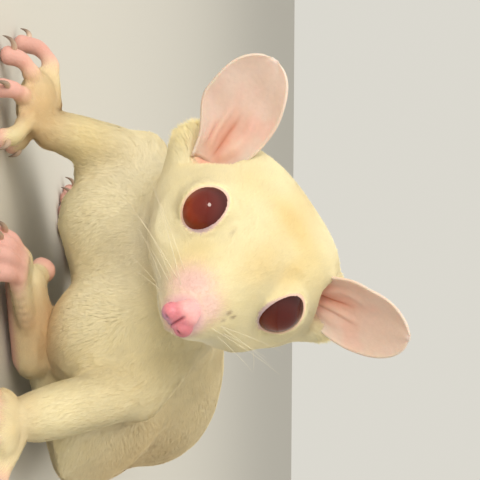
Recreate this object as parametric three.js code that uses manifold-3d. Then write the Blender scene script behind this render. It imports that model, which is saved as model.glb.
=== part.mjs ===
// A life-size still model of an albino sugar glider: crouched on all fours, hands spread wide in front, head
// raised, turned to its left and tilted, left hind foot drawn forward under the chest, right hind foot under
// the hips, tail curved round on the floor. Millimetres, +Z up, the chest faces -Y and the animal's left is
// +X. Each sub-part is one closed mesh with the true outer outline of the coat, or of the bare skin on the
// hands, feet, ears and nose.
import * as THREE from 'three';
import { mergeVertices } from 'three/addons/utils/BufferGeometryUtils.js';
import Module from 'manifold-3d';

const wasm = await Module();
wasm.setup();

// Driving sizes. Places are measured from the floor point under the middle of the head.
const gap = 0.3; // left between neighbours that touch
const headCentreHeight = 43;
const headYaw = 45.3; // degrees, towards the animal's left
const headPitch = 11.1; // nose down
const headRoll = -35.8; // left ear up
const eyeRadius = 4.9;
const eyeOpening = 3.7; // radius of the round opening between the lids
const eyeCentre = { side: 9.9, back: -5.6, up: 2.2 };
const eyeAim = { side: 0.456, back: -0.849, up: 0.268 };
const earLength = 18;
const earWidth = 14.4;
const earThickness = 0.9;
const digitRadius = 1.85;
const clawReach = 3.4;
const digitReach = 5.6; // from a knuckle to the middle of the pad
const padPress = 0.8; // height of a pad's centre on the floor, as a share of its radius
const tailRadius = 9;
const originShift = { x: 13.34, y: -94.4 }; // puts the origin under the middle of the whole model

const paint = {
  coat: { color: 0xefe0a4, roughness: 0.9, metalness: 0 },
  skin: { color: 0xd9a693, roughness: 0.6, metalness: 0 },
  ear: { color: 0xe2bfae, roughness: 0.65, metalness: 0 },
  nose: { color: 0xd77a86, roughness: 0.35, metalness: 0 },
  eye: { color: 0x6b2320, roughness: 0.08, metalness: 0 },
};

const deg = THREE.MathUtils.degToRad;
const vec = (x, y, z) => new THREE.Vector3(x, y, z);
const at = (p) => vec(p[0], p[1], p[2]);
const sides = { right: -1, left: 1 };
const both = Object.values(sides);

// Distance fields of the flesh: negative inside, positive outside.
function ball(centre, radii) {
  const c = at(centre);
  const r = at(radii);
  return (p) => {
    const d = p.clone().sub(c);
    const near = vec(d.x / r.x, d.y / r.y, d.z / r.z).length();
    const slope = vec(d.x / (r.x * r.x), d.y / (r.y * r.y), d.z / (r.z * r.z)).length();
    return slope < 1e-9 ? -Math.min(r.x, r.y, r.z) : (near * (near - 1)) / slope;
  };
}

function link(a, b, ra, rb) {
  const start = at(a);
  const run = at(b).sub(start);
  const span = run.lengthSq();
  return (p) => {
    const d = p.clone().sub(start);
    const t = THREE.MathUtils.clamp(d.dot(run) / span, 0, 1);
    return d.addScaledVector(run, -t).length() - THREE.MathUtils.lerp(ra, rb, t);
  };
}

const chain = (places, radii) => places.slice(1).map((p, i) => link(places[i], p, radii[i], radii[i + 1]));

function blended(fields, softness) {
  return (p) => {
    const ds = fields.map((f) => f(p));
    const least = Math.min(...ds);
    const sum = ds.reduce((s, d) => s + Math.exp((least - d) / softness), 0);
    return least - softness * Math.log(sum);
  };
}

// How far a ray travels from inside a field to its surface, or to a shell grown outwards by level.
function travel(field, from, dir, level, reach) {
  const step = 0.7;
  let low = 0;
  let high = step;
  while (high < reach && field(from.clone().addScaledVector(dir, high)) < level) {
    low = high;
    high += step;
  }
  for (let i = 0; i < 14; i++) {
    const middle = (low + high) / 2;
    if (field(from.clone().addScaledVector(dir, middle)) < level) low = middle;
    else high = middle;
  }
  return low;
}

// A closed skin pulled on to a field: rings of rays leave a curved axis, and a fan of rays closes each end.
function wrap({ axis, field, rings, around, capRings = 4, level = 0, reach = 60, upward = [0, 0, 1] }) {
  const curve = new THREE.CatmullRomCurve3(axis.map(at), false, 'centripetal');
  const surface = (from, dir) => from.clone().addScaledVector(dir, travel(field, from, dir, level, reach));
  const rows = [];
  const addRow = (from, tangent, lean) => {
    const side = at(upward).cross(tangent).normalize();
    const up = tangent.clone().cross(side).normalize();
    const row = [];
    for (let j = 0; j < around; j++) {
      const a = (2 * Math.PI * j) / around;
      const out = side.clone().multiplyScalar(Math.cos(a)).addScaledVector(up, Math.sin(a));
      row.push(surface(from, out.multiplyScalar(Math.cos(lean)).addScaledVector(tangent, Math.sin(lean))));
    }
    rows.push(row);
  };
  const quarter = Math.PI / 2;
  const ends = [0, 1].map((t) => ({ place: curve.getPointAt(t), tangent: curve.getTangentAt(t) }));
  for (let i = capRings - 1; i >= 1; i--) addRow(ends[0].place, ends[0].tangent, (-quarter * i) / capRings);
  for (let i = 0; i <= rings; i++) addRow(curve.getPointAt(i / rings), curve.getTangentAt(i / rings), 0);
  for (let i = 1; i < capRings; i++) addRow(ends[1].place, ends[1].tangent, (quarter * i) / capRings);
  const first = surface(ends[0].place, ends[0].tangent.clone().negate());
  const last = surface(ends[1].place, ends[1].tangent);
  return closedRows(rows, first, last);
}

// Joins rows of points, each a closed loop, between a first and a last point.
function closedRows(rows, first, last) {
  const around = rows[0].length;
  const points = [first, ...rows.flat(), last];
  const faces = [];
  const id = (i, j) => 1 + i * around + (j % around);
  for (let j = 0; j < around; j++) {
    faces.push(0, id(0, j + 1), id(0, j));
    faces.push(points.length - 1, id(rows.length - 1, j), id(rows.length - 1, j + 1));
    for (let i = 0; i + 1 < rows.length; i++) {
      faces.push(id(i, j), id(i, j + 1), id(i + 1, j + 1));
      faces.push(id(i, j), id(i + 1, j + 1), id(i + 1, j));
    }
  }
  return solidFrom(points, faces);
}

function solidFrom(points, faces) {
  const geometry = new THREE.BufferGeometry().setFromPoints(points);
  geometry.setIndex(faces);
  return solidOf(geometry);
}

function solidOf(geometry) {
  const bare = geometry.clone();
  bare.deleteAttribute('normal');
  bare.deleteAttribute('uv');
  const merged = mergeVertices(bare, 1e-4);
  const triVerts = new Uint32Array(merged.index.array);
  const vertProperties = new Float32Array(merged.attributes.position.array);
  const made = new wasm.Manifold(new wasm.Mesh({ numProp: 3, vertProperties, triVerts }));
  if (made.volume() > 0) return made;
  const turned = triVerts.map((v, i) => triVerts[i % 3 === 2 ? i - 1 : i % 3 === 1 ? i + 1 : i]);
  return new wasm.Manifold(new wasm.Mesh({ numProp: 3, vertProperties, triVerts: turned }));
}

const joined = (solids) => solids.reduce((a, b) => a.add(b));
const cutBy = (solid, tools) => tools.reduce((a, b) => a.subtract(b), solid);
const largest = (solid) => solid.decompose().sort((a, b) => b.volume() - a.volume())[0];

// A block that fills the far side of a plane, for parting a body and for the floor.
function beyond(point, normal, size = 500) {
  const n = at(normal).normalize();
  const block = new THREE.BoxGeometry(size, size, size);
  block.applyQuaternion(new THREE.Quaternion().setFromUnitVectors(vec(0, 0, 1), n));
  block.translate(...at(point).addScaledVector(n, size / 2).toArray());
  return solidOf(block);
}

const belowFloor = beyond([0, 0, 0], [0, 0, -1]);

// Parts a solid across a plane and leaves the gap there.
function parted(solid, point, normal) {
  const half = at(normal).normalize().multiplyScalar(gap / 2);
  const back = normal.map((v) => -v);
  const near = solid.subtract(beyond(at(point).sub(half).toArray(), normal));
  const far = solid.subtract(beyond(at(point).add(half).toArray(), back));
  return [largest(near), largest(far)];
}

// A tapered tube with round ends through a list of places, with a radius for each place.
function tube(places, radii, around, rings, capRings = 2) {
  const fields = chain(places, radii);
  const field = (p) => Math.min(...fields.map((f) => f(p)));
  return wrap({ axis: places, field, rings, around, capRings, reach: 20, upward: [0.12, 0.2, 1] });
}

// The head's own frame: x to its left, y back, z up, from the middle of the head.
const headTurn = new THREE.Euler(deg(headPitch), deg(headRoll), deg(headYaw), 'ZXY');
const headFrame = new THREE.Matrix4()
  .makeRotationFromEuler(headTurn)
  .setPosition(0, 0, headCentreHeight);
const toHead = headFrame.clone().invert();
const headPlace = (p) => at(p).applyMatrix4(headFrame).toArray();
const headWay = (p) => at(p).normalize().transformDirection(headFrame);
const inHead = (field) => (p) => field(p.clone().applyMatrix4(toHead));
const headUp = headWay([0, 0, 1]).toArray();

// Head: cranium, cheeks with the ruff under each ear, a mound under each eye, broad snout and jaw.
const headField = inHead(
  blended(
    [
      ball([0, 6, 1], [15.5, 15.5, 11.8]),
      ball([0, 13, -2], [13, 9.5, 11]),
      link([0, -8, -1.5], [-0.4, -22.8, -4.9], 9, 2.8),
      link([0, -2, -8], [0, -15.8, -8.5], 6.5, 2),
      ...both.flatMap((s) => [
        ball([s * 8.4, 7, 3.2], [7.5, 9, 9.4]),
        ball([s * 12, 4.5, -3.5], [7, 9, 7.6]),
        ball([s * 18, 10, 1.2], [6.3, 6, 6.6]),
        ball([s * 8.4, -5, -6.3], [6, 8, 5]),
        ball([s * 4.4, -12, -5.2], [4, 6, 3.8]),
        ball([s * 1.7, -18.8, -5.8], [2.4, 4, 2.4]),
        ball([s * 9.1, -4.2, 1.7], [6, 6, 6]),
      ]),
    ],
    1.6,
  ),
);
const headAxis = [[0, 11, 0], [0, 2, -1], [0, -9, -3], [0, -21, -5.8]].map(headPlace);
const headWrap = (level) =>
  wrap({ axis: headAxis, field: headField, rings: 14, around: 30, capRings: 6, level, upward: headUp });

// Eyes: round balls in sockets that open between raised lids.
function eyeParts(side) {
  const centre = at(headPlace([side * eyeCentre.side, eyeCentre.back, eyeCentre.up]));
  const aim = headWay([side * eyeAim.side, eyeAim.back, eyeAim.up]);
  const turn = new THREE.Quaternion().setFromUnitVectors(vec(0, 0, 1), aim);
  const placed = (geometry, along) => {
    const place = centre.clone().addScaledVector(aim, along);
    return solidOf(geometry.applyQuaternion(turn).translate(...place.toArray()));
  };
  const sphere = (radius) => placed(new THREE.IcosahedronGeometry(radius, 3), 0);
  const lidDepth = Math.sqrt(eyeRadius ** 2 - eyeOpening ** 2);
  const coneHeight = 7;
  const slope = eyeOpening / lidDepth;
  const cone = new THREE.CylinderGeometry(coneHeight * slope, 0.01, coneHeight, 20).rotateX(Math.PI / 2);
  const lid = new THREE.TorusGeometry(eyeOpening + 0.55, 0.65, 5, 20);
  return {
    eyeball: sphere(eyeRadius),
    lid: placed(lid, lidDepth),
    opening: [sphere(eyeRadius + gap), placed(cone, coneHeight / 2)],
  };
}
const eyes = Object.fromEntries(Object.entries(sides).map(([name, side]) => [name, eyeParts(side)]));

// Ears: cupped oval shells, narrower and more closed at the base, sunk a little way into the fur.
function earShell(base, tip, facing) {
  const axis = at(tip).sub(at(base)).normalize();
  const open = at(facing);
  open.addScaledVector(axis, -open.dot(axis)).normalize();
  const across = axis.clone().cross(open).normalize();
  const steps = 9;
  const sunk = 4.5;
  const widest = 0.5;
  const halfWidth = (t) => {
    const near = 0.62 + 0.38 * Math.sin((Math.PI / 2) * (t / widest));
    const far = Math.max(1 - ((t - widest) / (1 - widest)) ** 2.3, 0) ** 0.5;
    return (earWidth / 2) * Math.max(t < widest ? near : far, 0.14);
  };
  const point = (i, j, inner) => {
    const t = Math.sin((Math.PI / 2) * (i / (steps - 1)) ** 0.9);
    const s = (2 * j) / (steps - 1) - 1;
    const curl = THREE.MathUtils.lerp(1.35, 0.4, t ** 0.45);
    const radius = halfWidth(t) / Math.sin(curl);
    const thick = inner ? earThickness * (1.5 - 0.6 * t) * (1 - 0.3 * s * s) : 0;
    const dish = 4.2 * (t - 0.42) ** 2; // base and tip lean forward of the middle
    return at(base)
      .addScaledVector(axis, (earLength + sunk) * t - sunk)
      .addScaledVector(across, Math.sin(curl * s) * (radius - thick))
      .addScaledVector(open, (1 - Math.cos(curl * s)) * radius + Math.cos(curl * s) * thick + dish)
      .applyMatrix4(headFrame);
  };
  const points = [];
  const faces = [];
  const id = (face, [i, j]) => (face * steps + i) * steps + j;
  for (const face of [0, 1])
    for (let k = 0; k < steps * steps; k++) points.push(point(Math.floor(k / steps), k % steps, face));
  for (let i = 0; i + 1 < steps; i++)
    for (let j = 0; j + 1 < steps; j++) {
      const [a, b, c, d] = [[i, j], [i, j + 1], [i + 1, j + 1], [i + 1, j]];
      faces.push(id(0, a), id(0, b), id(0, c), id(0, a), id(0, c), id(0, d));
      faces.push(id(1, a), id(1, c), id(1, b), id(1, a), id(1, d), id(1, c));
    }
  const last = steps - 1;
  const rim = Array.from({ length: 4 * last }, (_, k) => {
    const along = k % last;
    return [[0, along], [along, last], [last, last - along], [last - along, 0]][Math.floor(k / last)];
  });
  rim.forEach((a, k) => {
    const b = rim[(k + 1) % rim.length];
    faces.push(id(0, a), id(1, a), id(1, b), id(0, a), id(1, b), id(0, b));
  });
  return solidFrom(points, faces);
}

// Nose: a small bare pad on the end of the snout with two comma nostrils.
function nosePad() {
  const lobes = both.map((s) => ball([s * 1.6 - 0.7, -25.4, -4.9], [1.75, 1.8, 1.75]));
  const field = inHead(blended([ball([-0.7, -25.1, -3.7], [2.6, 2, 2.5]), ...lobes], 0.4));
  const axis = [[-0.7, -24.8, -4.4], [-0.7, -26, -4.4]].map(headPlace);
  const pad = wrap({ axis, field, rings: 2, around: 12, capRings: 4, reach: 12, upward: headUp });
  const nostril = (s) => [[1.2, -28, -5.2], [1.8, -27.2, -5.3], [2.7, -26.2, -4.7]].map(([x, y, z]) => [s * x - 0.7, y, z]);
  return cutBy(pad, both.map((s) => tube(nostril(s).map(headPlace), [0.35, 0.5, 0.45], 6, 2)));
}

// The line of the mouth, a groove from under the nose back along each side of the snout.
function mouthGroove(side) {
  const steps = 5;
  const places = Array.from({ length: steps }, (_, i) => {
    const from = at(headPlace([0, -17 + 1.6 * i, -6]));
    const way = headWay([side * (0.1 + 0.2 * i), -1 + 0.22 * i, -0.5 - 0.1 * i]);
    return from.addScaledVector(way, travel(headField, from, way, 0, 40)).toArray();
  });
  return tube(places, [0.35, 0.42, 0.42, 0.36, 0.25], 6, 4);
}

// Trunk: two chest lobes, ribs, loin and hips on one curved spine.
const spine = {
  shoulders: [-1, 20, 26],
  ribs: [2, 35, 23.2],
  loin: [6, 53, 21.4],
  hips: [1.5, 71, 17.8],
  rump: [-1.5, 84, 15],
};
const backField = blended(
  [
    ball(spine.shoulders, [14.6, 12.5, 12.4]),
    ball([-9, 20, 18.6], [9.4, 12, 9.8]),
    ball([9.2, 21, 18.6], [9.6, 12, 9.8]),
    ball(spine.ribs, [16, 15, 14.2]),
    ball([4.2, 44, 22.5], [15.8, 14, 14.2]),
    ball(spine.loin, [15.8, 15.5, 14.2]),
    ball([4, 62, 19], [15.8, 13, 14.4]),
    ball(spine.hips, [15.4, 14, 13.8]),
    ball(spine.rump, [10, 8, 9]),
  ],
  2.6,
);
const chestLobes = [
  ball([-12.2, 11, 17.6], [10.2, 10, 10.6]),
  ball([10.8, 12.4, 17.6], [11.4, 11, 10.8]),
];
const trunkField = blended([backField, ...chestLobes], 1.6);
const trunkAxis = [[-0.5, 14.5, 19], [0, 24, 20.2], [2.2, 38, 20.4], [4, 54, 19.4], [2.4, 70, 17.4], [-1, 83, 15.5]];
const trunkWrap = (level) =>
  wrap({ axis: trunkAxis, field: trunkField, rings: 20, around: 22, capRings: 6, level });
const neckAxis = [[-1, 20, 28], [-4, 13, 32], headPlace([0, 10, -2])];
const neckField = blended(chain(neckAxis, [14.5, 14.6, 13.6]), 1.5);
const neckWrap = (level) => wrap({ axis: neckAxis, field: neckField, rings: 5, around: 15, capRings: 3, level });

// Limbs, each from its root joint to its far joint: elbows out behind the hands, left knee forward.
const limbs = {
  upper_arm_right: { joints: [[-13, 14, 25], [-24.5, 11, 23]], radii: [10, 6.6] },
  upper_arm_left: { joints: [[10, 18, 26], [21.5, 13, 24]], radii: [10, 6.2] },
  forearm_right: { joints: [[-24.5, 10.5, 22], [-23, -3, 9.5]], radii: [6, 4.7] },
  forearm_left: { joints: [[21.5, 11, 23.5], [31, -2.6, 9.4]], radii: [5.8, 5.3] },
  thigh_right: { joints: [[-6, 69, 16], [-20.5, 51, 12]], radii: [12.5, 8.6] },
  thigh_left: { joints: [[8, 63, 15], [21.5, 44.5, 12]], radii: [12.5, 8.6] },
  shank_right: { joints: [[-22.5, 51, 10], [-29.5, 75, 5.5]], radii: [6.5, 3.6] },
  shank_left: { joints: [[25, 42, 10.4], [14, 18, 6]], radii: [6.6, 4.1] },
};
function limbWrap({ joints, radii }, level) {
  const field = link(...joints, ...radii);
  return wrap({ axis: joints, field, rings: 3, around: 12, capRings: 3, level, reach: 30 });
}

// Hands and feet: a palm or sole that reaches out to each knuckle, and digits that arch down to round pads.
const paws = {
  hand_right: {
    root: [-22.5, -3.5, 8.5],
    palm: [-27, -5.8, 5.6],
    spread: [7.2, 5.2],
    pads: [[-20, -3.6], [-17.2, -11], [-25, -15], [-32.8, -13.2], [-41, -4.2]],
    knuckles: [4.8, 4.8, 4.4, 5.8, 7.3],
  },
  hand_left: {
    root: [31, -3.4, 8.4],
    palm: [34, -7.2, 5.2],
    spread: [7.2, 5.2],
    pads: [[27.2, -13.4], [30.8, -18.8], [36.2, -19.4], [42, -15.6], [47.4, -6]],
    knuckles: [4.4, 4.2, 4.2, 4.6, 5.4],
  },
  foot_left: {
    root: [13.3, 15.8, 4.8],
    palm: [3.8, 4.8, 4.2],
    spread: [4.6, 5.4],
    pads: [[-0.8, 9.4, 6.2], [-0.6, -6], [1.6, -8.6], [4.6, -10.2], [7.4, -8.8]],
    knuckles: [5.4, 4.6, 4.6, 4.6, 4.4],
    clawlessFirst: true,
  },
  foot_right: {
    root: [-29.8, 74.5, 4.8],
    palm: [-32.6, 63, 3.8],
    spread: [4.6, 5.4],
    pads: [[-27, 61, 3], [-29.6, 51.2], [-32.8, 50], [-36.2, 50.6], [-39.4, 53.6]],
    knuckles: [4.4, 4.4, 4.4, 4.4, 4.4],
    clawlessFirst: true,
  },
};

// The way from the palm's middle to a pad, with the place of its knuckle.
function digitWay({ palm, pads, knuckles }, i) {
  const way = vec(pads[i][0] - palm[0], pads[i][1] - palm[1], 0);
  const length = way.length();
  way.normalize();
  const along = (distance, z) => [palm[0] + way.x * distance, palm[1] + way.y * distance, z];
  return { length, along, knuckle: along(length - Math.min(digitReach, length * 0.55), knuckles[i]) };
}

function digit(paw, i, radius, clawed) {
  const { length, along, knuckle } = digitWay(paw, i);
  const padRadius = radius * 1.12;
  const padHeight = paw.pads[i][2] ?? padRadius * padPress;
  const places = [
    along(length * 0.2, paw.palm[2]),
    knuckle,
    along(length - radius * 0.7, THREE.MathUtils.lerp(knuckle[2], padHeight, 0.42)),
    along(length, padHeight),
  ];
  const pieces = [tube(places, [radius * 1.15, radius * 1.05, radius * 0.86, padRadius], 6, 4)];
  if (clawed) {
    const claw = [[0.1, padHeight + radius * 0.4], [0.62, padHeight + radius * 0.25], [0.9, padHeight - 0.7], [1, 0.4]];
    const reach = clawReach * (i === 0 ? 0.6 : 1);
    const hook = claw.map(([share, z]) => along(length + padRadius * 0.4 + reach * share, z));
    pieces.push(tube(hook, [0.9, 0.7, 0.48, 0.22], 5, 3, 1));
  }
  return pieces;
}

function pawSolid(paw) {
  const { root, palm, spread, pads, clawlessFirst = false } = paw;
  const bones = pads.map((_, i) => link(root, digitWay(paw, i).knuckle, 2.4, digitRadius * 1.15));
  const field = blended([ball(palm, [...spread, palm[2] - 1]), link(root, palm, 3.9, 3.4), ...bones], 0.8);
  const sole = wrap({ axis: [root, palm], field, rings: 3, around: 14, capRings: 3, reach: 20 });
  const digits = pads.flatMap((_, i) => {
    const bare = clawlessFirst && i === 0;
    return digit(paw, i, digitRadius * (bare ? 1.3 : 1), !bare);
  });
  return largest(joined([sole, ...digits]).subtract(belowFloor));
}

// Gliding membrane: a soft fold gathered along the flank, with a rounded lip from forearm to knee.
const membranes = {
  membrane_left: {
    front: [[21, 14, 25], [25.5, 10, 18], [29.5, 9, 12.5], [30, 14, 11.5]],
    lip: [[29.5, 12, 12], [30.5, 22, 11.5], [29.5, 34, 11.5], [26, 46, 11.5]],
    upper: [[19, 18, 22], [18, 34, 23.5], [17, 48, 23]],
  },
  membrane_right: {
    front: [[-24, 13, 24], [-27, 10, 17], [-27, 9, 12.5], [-27, 13, 11.5]],
    lip: [[-26.5, 12, 12], [-26.5, 22, 11.5], [-24, 36, 11.5], [-20, 50, 12]],
    upper: [[-17, 20, 21], [-14, 36, 22], [-10, 50, 21]],
  },
};
function membraneSolid({ front, lip, upper }) {
  const middle = upper.map((p, i) => at(p).lerp(at(lip[i === 0 ? 0 : i + 1]), 0.5).toArray());
  const fields = [...chain(lip, [3, 3.6, 3.6, 3.2]), ...chain(upper, [3, 4, 3]), ...chain(middle, [4, 4.6, 4])];
  const sheet = wrap({ axis: middle, field: blended(fields, 2), rings: 5, around: 10, capRings: 3, reach: 30 });
  return sheet.add(tube(front, [2.8, 3.2, 3.2, 3], 7, 3));
}

// Tail: a long soft brush that lies on the floor, in three lengths.
const tailPath = [
  [-2, 88, 15],
  [-4.5, 98, 10.5],
  [-10, 115, 8.6],
  [-20, 141, 8.8],
  [-33, 166, 8.8],
  [-50, 187, 8.4],
  [-66, 200, 7],
  [-75, 209, 4.4],
];
const tailRadii = [6.5, 8, 9, 9.2, 9.2, 8.8, 7.2, 3.6].map((r) => (r / 9) * tailRadius);
function tailSolid() {
  const field = blended(chain(tailPath, tailRadii), 0.8);
  return wrap({ axis: tailPath, field, rings: 19, around: 13, capRings: 3, reach: 20 }).subtract(belowFloor);
}

const group = new THREE.Group();
group.name = 'sugar_glider';

function addNode(name, solid, finish) {
  const mesh = solid.getMesh();
  const geometry = new THREE.BufferGeometry();
  geometry.setAttribute('position', new THREE.BufferAttribute(new Float32Array(mesh.vertProperties), 3));
  geometry.setIndex(new THREE.BufferAttribute(new Uint32Array(mesh.triVerts), 1));
  geometry.computeVertexNormals();
  const piece = new THREE.Mesh(geometry, new THREE.MeshStandardMaterial(paint[finish]));
  piece.name = name;
  group.add(piece);
}

// Everything is built largest first, and each piece is cut back from the grown shape of what it meets.
const grown = { head: headWrap(gap), trunk: trunkWrap(1.2 * gap), neck: neckWrap(gap) };
const openings = Object.values(eyes).flatMap((eye) => eye.opening);
const headWithLids = joined([headWrap(0), ...Object.values(eyes).map((eye) => eye.lid)]);
addNode('head', largest(cutBy(headWithLids, [...openings, ...both.map(mouthGroove)])), 'coat');
for (const [name, eye] of Object.entries(eyes)) addNode(`eye_${name}`, eye.eyeball, 'eye');
addNode('nose', largest(nosePad().subtract(grown.head)), 'nose');
const ears = {
  ear_right: earShell([-17.6, 7.5, 6.6], [-24, 8.6, 23.5], [-0.2, -1, 0.25]),
  ear_left: earShell([16.6, 7.6, 5.7], [26.9, 1.6, 15.7], [0.5, -1, 0.35]),
};
for (const [name, shell] of Object.entries(ears)) addNode(name, largest(shell.subtract(grown.head)), 'ear');

addNode('neck', largest(cutBy(neckWrap(0), [grown.head, grown.trunk])), 'coat');
const [chest, rear] = parted(trunkWrap(0).subtract(grown.head), [3, 39, 20], [0.2, 1, -0.05]);
const [belly, hips] = parted(rear, [5, 61, 20], [-0.1, 1, -0.1]);
Object.entries({ chest, belly, hips }).forEach(([name, solid]) => addNode(name, solid, 'coat'));

const [tailRoot, tailRest] = parted(largest(tailSolid().subtract(grown.trunk)), [-16, 132, 9], [-0.4, 1, 0]);
const [tailMiddle, tailTip] = parted(tailRest, [-40, 176, 8.6], [-0.75, 1, 0]);
const tail = { tail_root: tailRoot, tail_middle: tailMiddle, tail_tip: tailTip };
for (const [name, solid] of Object.entries(tail)) addNode(name, solid, 'coat');

const pawSolids = Object.fromEntries(Object.entries(paws).map(([name, paw]) => [name, pawSolid(paw)]));
const cutters = Object.values(grown);
for (const [name, limb] of Object.entries(limbs)) {
  addNode(name, largest(cutBy(limbWrap(limb, 0), cutters)), 'coat');
  cutters.push(limbWrap(limb, gap));
}
for (const [name, paw] of Object.entries(pawSolids)) addNode(name, largest(cutBy(paw, cutters)), 'skin');
for (const [name, shape] of Object.entries(membranes))
  addNode(name, largest(cutBy(membraneSolid(shape), cutters)), 'coat');

group.position.set(originShift.x, originShift.y, 0);

export default group;
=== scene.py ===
# A sugar glider with a pale cream coat, as a still, life-size model around its CAD solids.
import math

import bmesh
import bpy
import numpy as np
from mathutils import Matrix, Vector
from mathutils.bvhtree import BVHTree


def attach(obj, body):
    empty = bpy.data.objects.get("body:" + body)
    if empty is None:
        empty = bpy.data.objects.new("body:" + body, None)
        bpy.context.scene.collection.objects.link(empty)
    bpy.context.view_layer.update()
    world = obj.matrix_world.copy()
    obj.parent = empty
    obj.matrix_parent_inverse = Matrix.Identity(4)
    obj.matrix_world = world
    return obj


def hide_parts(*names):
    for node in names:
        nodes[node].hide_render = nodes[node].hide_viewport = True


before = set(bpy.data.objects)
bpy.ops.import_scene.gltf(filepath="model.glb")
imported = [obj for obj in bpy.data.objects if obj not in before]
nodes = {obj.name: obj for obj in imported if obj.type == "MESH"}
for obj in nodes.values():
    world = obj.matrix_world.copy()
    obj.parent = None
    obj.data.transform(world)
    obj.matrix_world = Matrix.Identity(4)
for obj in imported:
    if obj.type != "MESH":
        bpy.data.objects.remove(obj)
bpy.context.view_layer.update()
mm = 0.001
scene = bpy.context.scene
draw = np.random.default_rng(11)

# Places are in the animal's own millimetres: x to its left, y towards its tail, z up.
# The CAD model shifts them, so that its origin lies under the middle of the whole animal.
placing = {"shift": (13.34, -94.4, 0.0), "headCentre": (0, 0, 43), "yaw": 45.3, "pitch": 11.1, "roll": -35.8}


def turning(axis, degrees):
    return np.array(Matrix.Rotation(math.radians(degrees), 3, axis))


headTurn = turning("Z", placing["yaw"]) @ turning("X", placing["pitch"]) @ turning("Y", placing["roll"])


def metres(points):
    return (np.asarray(points, float) + placing["shift"]) * mm


def fromHead(points):
    return np.asarray(points, float) @ headTurn.T + placing["headCentre"]


def toHead(points):
    return (np.asarray(points, float) - placing["headCentre"]) @ headTurn


def sizeOf(v):
    return np.linalg.norm(v, axis=-1)


def unit(v):
    v = np.asarray(v, float)
    return v / np.maximum(sizeOf(v)[..., None], 1e-9)


def ease(low, high, x):
    t = np.clip((np.asarray(x, float) - low) / (high - low), 0, 1)
    return t * t * (3 - 2 * t)


# 1 in the middle, falling to nothing a little beyond the width
def bell(x, width, power=2):
    return np.exp(-((x / width) ** power))


def mix(a, b, share):
    return a + (b - a) * share


def linear(hexColour):
    channels = [int(hexColour[i : i + 2], 16) / 255 for i in (1, 3, 5)]
    return np.array([c / 12.92 if c <= 0.04045 else ((c + 0.055) / 1.055) ** 2.4 for c in channels])


# A colour mixed towards another, by a share for each place
def towards(colour, other, share):
    colour, other = (linear(c) if isinstance(c, str) else c for c in (colour, other))
    return mix(colour, other, share[:, None])


# A smooth way through a few places, as evenly spaced points
def curveThrough(places, count):
    p = np.asarray(places, float)
    p = np.vstack([2 * p[0] - p[1], p, 2 * p[-1] - p[-2]])
    fine = []
    for i in range(1, len(p) - 2):
        a, b, c, d = p[i - 1 : i + 3]
        t = np.linspace(0, 1, 24, endpoint=False)[:, None]
        square, cube = 2 * a - 5 * b + 4 * c - d, 3 * b - a - 3 * c + d
        fine.append(0.5 * (2 * b + (c - a) * t + square * t**2 + cube * t**3))
    fine = np.vstack(fine + [p[-2:-1]])
    way = np.concatenate([[0], np.cumsum(sizeOf(np.diff(fine, axis=0)))])
    at = np.linspace(0, way[-1], count)
    return np.stack([np.interp(at, way, fine[:, k]) for k in range(3)], axis=1)


# A soft random field in space, about -1 to 1, with swells of the given width in mm
def ripple(points, width, seed):
    r = np.random.default_rng(seed)
    total = 0
    for _ in range(6):
        wave = unit(r.normal(size=3)) * 2 * math.pi / (width * r.uniform(0.7, 1.5))
        total = total + np.sin(points @ wave + r.uniform(0, 6.28))
    return total / 2.6


# Objects and meshes
def putInScene(name, data):
    made = bpy.data.objects.new(name, data)
    scene.collection.objects.link(made)
    return made


def newObject(name, bm, smooth=True):
    mesh = bpy.data.meshes.new(name)
    bm.to_mesh(mesh)
    bm.free()
    piece = putInScene(name, mesh)
    if smooth:
        mesh.shade_smooth()
    return piece


def applyModifiers(piece):
    depsgraph = bpy.context.evaluated_depsgraph_get()
    finished = bpy.data.meshes.new_from_object(piece.evaluated_get(depsgraph))
    piece.modifiers.clear()
    old, piece.data = piece.data, finished
    bpy.data.meshes.remove(old)
    finished.name = piece.name
    finished.shade_smooth()
    return piece


def remesh(piece, voxel):
    modifier = piece.modifiers.new("Voxels", "REMESH")
    modifier.mode = "VOXEL"
    modifier.voxel_size = voxel * mm
    return applyModifiers(piece)


def readValues(items, key, width, kind=np.float32):
    values = np.empty(len(items) * width, kind)
    items.foreach_get(key, values)
    return values.reshape(-1, width)


def readPlaces(mesh):
    return readValues(mesh.vertices, "co", 3).astype(float) / mm - placing["shift"]


def writePlaces(mesh, places):
    mesh.vertices.foreach_set("co", metres(places).astype(np.float32).ravel())
    mesh.update()


def readNormals(mesh):
    return readValues(mesh.vertex_normals, "vector", 3).astype(float)


def edgePairs(mesh):
    return readValues(mesh.edges, "vertices", 2, np.int32)


def treeOf(mesh):
    return BVHTree.FromPolygons([v.co for v in mesh.vertices], [p.vertices for p in mesh.polygons])


# Each value moves towards the mean of its neighbours, as Blender's own smoothing does for places
def relax(values, edges, rounds, share=0.5, mask=None):
    values = np.array(values, float)
    a, b = edges[:, 0], edges[:, 1]
    count = np.maximum(np.bincount(a, minlength=len(values)) + np.bincount(b, minlength=len(values)), 1)
    flat = values.reshape(len(values), -1)
    weight = np.full(len(values), share) if mask is None else share * mask
    for _ in range(rounds):
        for k in range(flat.shape[1]):
            column = flat[:, k]
            mean = np.bincount(a, column[b], len(column)) + np.bincount(b, column[a], len(column))
            flat[:, k] += (mean / count - column) * weight
    return flat.reshape(values.shape)


def addAttribute(mesh, name, values):
    values = np.asarray(values, np.float32)
    if values.ndim == 1:
        mesh.attributes.new(name, "FLOAT", "POINT").data.foreach_set("value", values)
    else:
        full = np.ones((len(values), 4), np.float32)
        full[:, :3] = values
        mesh.attributes.new(name, "FLOAT_COLOR", "POINT").data.foreach_set("color", full.ravel())


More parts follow.
